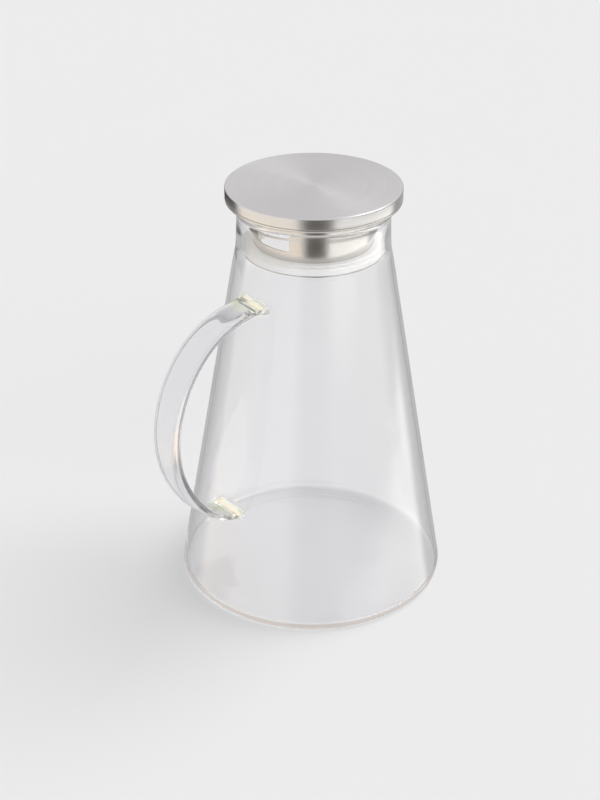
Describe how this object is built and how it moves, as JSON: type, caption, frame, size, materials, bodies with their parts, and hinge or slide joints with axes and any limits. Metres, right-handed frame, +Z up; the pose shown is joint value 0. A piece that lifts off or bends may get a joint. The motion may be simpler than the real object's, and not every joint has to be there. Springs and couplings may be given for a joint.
{
  "type": "water jug with lid",
  "caption": "Tall conical glass water jug with a fused flat strap handle and a flat round steel lid, sealed by a silicone ring and turned to pour or strain.",
  "frame": {"origin": "centre of the foot ring, on the surface the jug stands on", "axes": "+Z up along the jug's axis, handle along -X, pouring lip along +X"},
  "size_m": [0.1776, 0.1442, 0.225],
  "materials": {
    "clear_glass": "clear borosilicate, fire-polished",
    "turned_steel": "concentric brushed satin",
    "satin_steel": "satin, drawn sheet",
    "white_silicone": "matt translucent white"
  },
  "bodies": {
    "vessel": {"glass_body": "clear_glass", "glass_handle": "clear_glass"},
    "seal": {"seal_ring": "white_silicone"},
    "lid": {"lid_cap": "turned_steel", "lid_under_plate": "satin_steel", "lid_collar": "satin_steel"}
  },
  "joints": [
    {"name": "lid_lift", "type": "slide", "parent": "vessel", "child": "seal", "axis": [0, 0, 1], "range_m": [0, 0.07]},
    {"name": "lid_turn", "type": "hinge", "parent": "seal", "child": "lid", "pos_m": [0, 0, 0.2], "axis": [0, 0, 1], "continuous": true}
  ]
}
